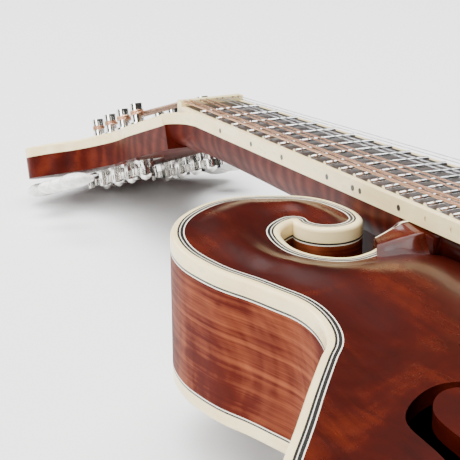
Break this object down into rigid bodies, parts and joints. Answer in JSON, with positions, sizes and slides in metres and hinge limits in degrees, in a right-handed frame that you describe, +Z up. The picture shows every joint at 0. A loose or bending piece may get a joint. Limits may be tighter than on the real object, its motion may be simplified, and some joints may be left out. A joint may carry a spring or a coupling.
{
  "type": "scroll mandolin",
  "caption": "Carved arch-top mandolin with a scroll at the bass shoulder, two points, a bound bent-back head, geared tuners, an adjustable bridge and a tailpiece.",
  "frame": {"origin": "on the surface the instrument lies on, under the middle of its box; it lies on its arched back and the tip of its head", "axes": "+Y from the tail to the head, +Z up out of the carved top, +X to the treble side"},
  "size_m": [0.254, 0.6566, 0.0951],
  "materials": {
    "mahogany_red": "deep red-brown stain under gloss lacquer",
    "neck_wood": "flamed maple, red-brown stain under lacquer",
    "inner_wood": "unfinished spruce and maple",
    "ivory": "aged ivory-coloured binding, polished",
    "purfling": "black and white fibre lines",
    "ebony": "oiled ebony",
    "black_veneer": "black veneer under gloss lacquer",
    "nickel": "polished nickel plate",
    "steel": "drawn steel",
    "string_set": "bronze-wound and plain steel strings",
    "pearl": "pearl-look plastic buttons on steel worms",
    "bone": "polished bone"
  },
  "bodies": {
    "instrument": {"back_binding": "ivory", "back_plate": "mahogany_red", "bridge_base": "ebony", "bridge_posts": "steel", "fingerboard": "ebony", "fingerboard_binding": "ivory", "fingerboard_riser": "mahogany_red", "frets": "nickel", "head_block": "inner_wood", "headstock_binding": "ivory", "headstock_screws": "nickel", "headstock_veneer": "black_veneer", "heel_cap": "ivory", "linings": "inner_wood", "neck": "neck_wood", "nut": "bone", "point_blocks": "inner_wood", "post_bushings": "nickel", "rib_bass": "mahogany_red", "rib_scroll": "mahogany_red", "rib_shoulder": "mahogany_red", "rib_treble": "mahogany_red", "rib_waist": "mahogany_red", "side_dots": "purfling", "side_purfling": "purfling", "strap_button": "nickel", "strings_head": "string_set", "tail_block": "inner_wood", "tailpiece_base": "nickel", "tailpiece_screws": "nickel", "tone_bars": "inner_wood", "top_binding": "ivory", "top_plate": "mahogany_red", "top_purfling": "purfling", "truss_rod": "steel", "truss_rod_cover": "black_veneer", "tuner_plates": "nickel"},
    "key_1": {"tuner_key_1": "pearl"},
    "post_1": {"tuner_post_1": "nickel"},
    "key_2": {"tuner_key_2": "pearl"},
    "post_2": {"tuner_post_2": "nickel"},
    "key_3": {"tuner_key_3": "pearl"},
    "post_3": {"tuner_post_3": "nickel"},
    "key_4": {"tuner_key_4": "pearl"},
    "post_4": {"tuner_post_4": "nickel"},
    "key_5": {"tuner_key_5": "pearl"},
    "post_5": {"tuner_post_5": "nickel"},
    "key_6": {"tuner_key_6": "pearl"},
    "post_6": {"tuner_post_6": "nickel"},
    "key_7": {"tuner_key_7": "pearl"},
    "post_7": {"tuner_post_7": "nickel"},
    "key_8": {"tuner_key_8": "pearl"},
    "post_8": {"tuner_post_8": "nickel"},
    "saddle": {"bridge_saddle": "ebony"},
    "thumbwheel_bass": {"thumbwheel_bass": "nickel"},
    "thumbwheel_treble": {"thumbwheel_treble": "nickel"},
    "speaking_strings": {"strings_speaking": "string_set"},
    "tail_strings": {"strings_tail": "string_set"},
    "tailpiece_lid": {"tailpiece_cover": "nickel"},
    "rod_nut": {"truss_rod_nut": "steel"}
  },
  "joints": [
    {"name": "key_1_turn", "type": "hinge", "parent": "instrument", "child": "key_1", "pos_m": [-0.0165, 0.21792, 0.02792], "axis": [1, 0, 0], "continuous": true},
    {"name": "post_1_turn", "type": "hinge", "parent": "instrument", "child": "post_1", "pos_m": [-0.0165, 0.2109, 0.03187], "axis": [0, 0.3082, 0.9513], "continuous": true},
    {"name": "key_2_turn", "type": "hinge", "parent": "instrument", "child": "key_2", "pos_m": [-0.0165, 0.23885, 0.02114], "axis": [1, 0, 0], "continuous": true},
    {"name": "post_2_turn", "type": "hinge", "parent": "instrument", "child": "post_2", "pos_m": [-0.0165, 0.23183, 0.02509], "axis": [0, 0.3082, 0.9513], "continuous": true},
    {"name": "key_3_turn", "type": "hinge", "parent": "instrument", "child": "key_3", "pos_m": [-0.0165, 0.25978, 0.01436], "axis": [1, 0, 0], "continuous": true},
    {"name": "post_3_turn", "type": "hinge", "parent": "instrument", "child": "post_3", "pos_m": [-0.0165, 0.25276, 0.01831], "axis": [0, 0.3082, 0.9513], "continuous": true},
    {"name": "key_4_turn", "type": "hinge", "parent": "instrument", "child": "key_4", "pos_m": [-0.0165, 0.28071, 0.00758], "axis": [1, 0, 0], "continuous": true},
    {"name": "post_4_turn", "type": "hinge", "parent": "instrument", "child": "post_4", "pos_m": [-0.0165, 0.27369, 0.01153], "axis": [0, 0.3082, 0.9513], "continuous": true},
    {"name": "key_5_turn", "type": "hinge", "parent": "instrument", "child": "key_5", "pos_m": [0.0165, 0.21792, 0.02792], "axis": [1, 0, 0], "continuous": true},
    {"name": "post_5_turn", "type": "hinge", "parent": "instrument", "child": "post_5", "pos_m": [0.0165, 0.2109, 0.03187], "axis": [0, 0.3082, 0.9513], "continuous": true},
    {"name": "key_6_turn", "type": "hinge", "parent": "instrument", "child": "key_6", "pos_m": [0.0165, 0.23885, 0.02114], "axis": [1, 0, 0], "continuous": true},
    {"name": "post_6_turn", "type": "hinge", "parent": "instrument", "child": "post_6", "pos_m": [0.0165, 0.23183, 0.02509], "axis": [0, 0.3082, 0.9513], "continuous": true},
    {"name": "key_7_turn", "type": "hinge", "parent": "instrument", "child": "key_7", "pos_m": [0.0165, 0.25978, 0.01436], "axis": [1, 0, 0], "continuous": true},
    {"name": "post_7_turn", "type": "hinge", "parent": "instrument", "child": "post_7", "pos_m": [0.0165, 0.25276, 0.01831], "axis": [0, 0.3082, 0.9513], "continuous": true},
    {"name": "key_8_turn", "type": "hinge", "parent": "instrument", "child": "key_8", "pos_m": [0.0165, 0.28071, 0.00758], "axis": [1, 0, 0], "continuous": true},
    {"name": "post_8_turn", "type": "hinge", "parent": "instrument", "child": "post_8", "pos_m": [0.0165, 0.27369, 0.01153], "axis": [0, 0.3082, 0.9513], "continuous": true},
    {"name": "saddle_height", "type": "slide", "parent": "instrument", "child": "saddle", "axis": [0, -0.0358, 0.9994], "range_m": [-0.0008, 0.0012]},
    {"name": "thumbwheel_bass_turn", "type": "hinge", "parent": "saddle", "child": "thumbwheel_bass", "pos_m": [-0.032, -0.18613, 0.08493], "axis": [0, -0.0358, 0.9994], "range_deg": [-360, 540]},
    {"name": "thumbwheel_treble_turn", "type": "hinge", "parent": "saddle", "child": "thumbwheel_treble", "pos_m": [0.032, -0.18613, 0.08493], "axis": [0, -0.0358, 0.9994], "range_deg": [-360, 540]},
    {"name": "speaking_strings_lift", "type": "hinge", "parent": "instrument", "child": "speaking_strings", "pos_m": [0, 0.16477, 0.0714], "axis": [1, 0, 0], "range_deg": [-0.25, 0.2]},
    {"name": "tail_strings_lift", "type": "hinge", "parent": "instrument", "child": "tail_strings", "pos_m": [0, -0.29661, 0.06556], "axis": [1, 0, 0], "range_deg": [-0.6, 0.9]},
    {"name": "tailpiece_cover_slide", "type": "slide", "parent": "instrument", "child": "tailpiece_lid", "axis": [0, -0.9994, -0.0358], "range_m": [0, 0.02]},
    {"name": "truss_rod_nut_turn", "type": "hinge", "parent": "instrument", "child": "rod_nut", "pos_m": [0, 0.17794, 0.05719], "axis": [0, 0.9982, -0.0602], "range_deg": [-180, 180]}
  ],
  "couplings": [
    {"joint": "post_1_turn", "follows": "key_1_turn", "ratio": 0.071429},
    {"joint": "post_2_turn", "follows": "key_2_turn", "ratio": 0.071429},
    {"joint": "post_3_turn", "follows": "key_3_turn", "ratio": 0.071429},
    {"joint": "post_4_turn", "follows": "key_4_turn", "ratio": 0.071429},
    {"joint": "post_5_turn", "follows": "key_5_turn", "ratio": 0.071429},
    {"joint": "post_6_turn", "follows": "key_6_turn", "ratio": 0.071429},
    {"joint": "post_7_turn", "follows": "key_7_turn", "ratio": 0.071429},
    {"joint": "post_8_turn", "follows": "key_8_turn", "ratio": 0.071429},
    {"joint": "thumbwheel_bass_turn", "follows": "saddle_height", "rad_per_m": 7854},
    {"joint": "thumbwheel_treble_turn", "follows": "saddle_height", "rad_per_m": 7854},
    {"joint": "speaking_strings_lift", "follows": "saddle_height", "rad_per_m": -2.8409},
    {"joint": "tail_strings_lift", "follows": "saddle_height", "rad_per_m": 9.132}
  ]
}
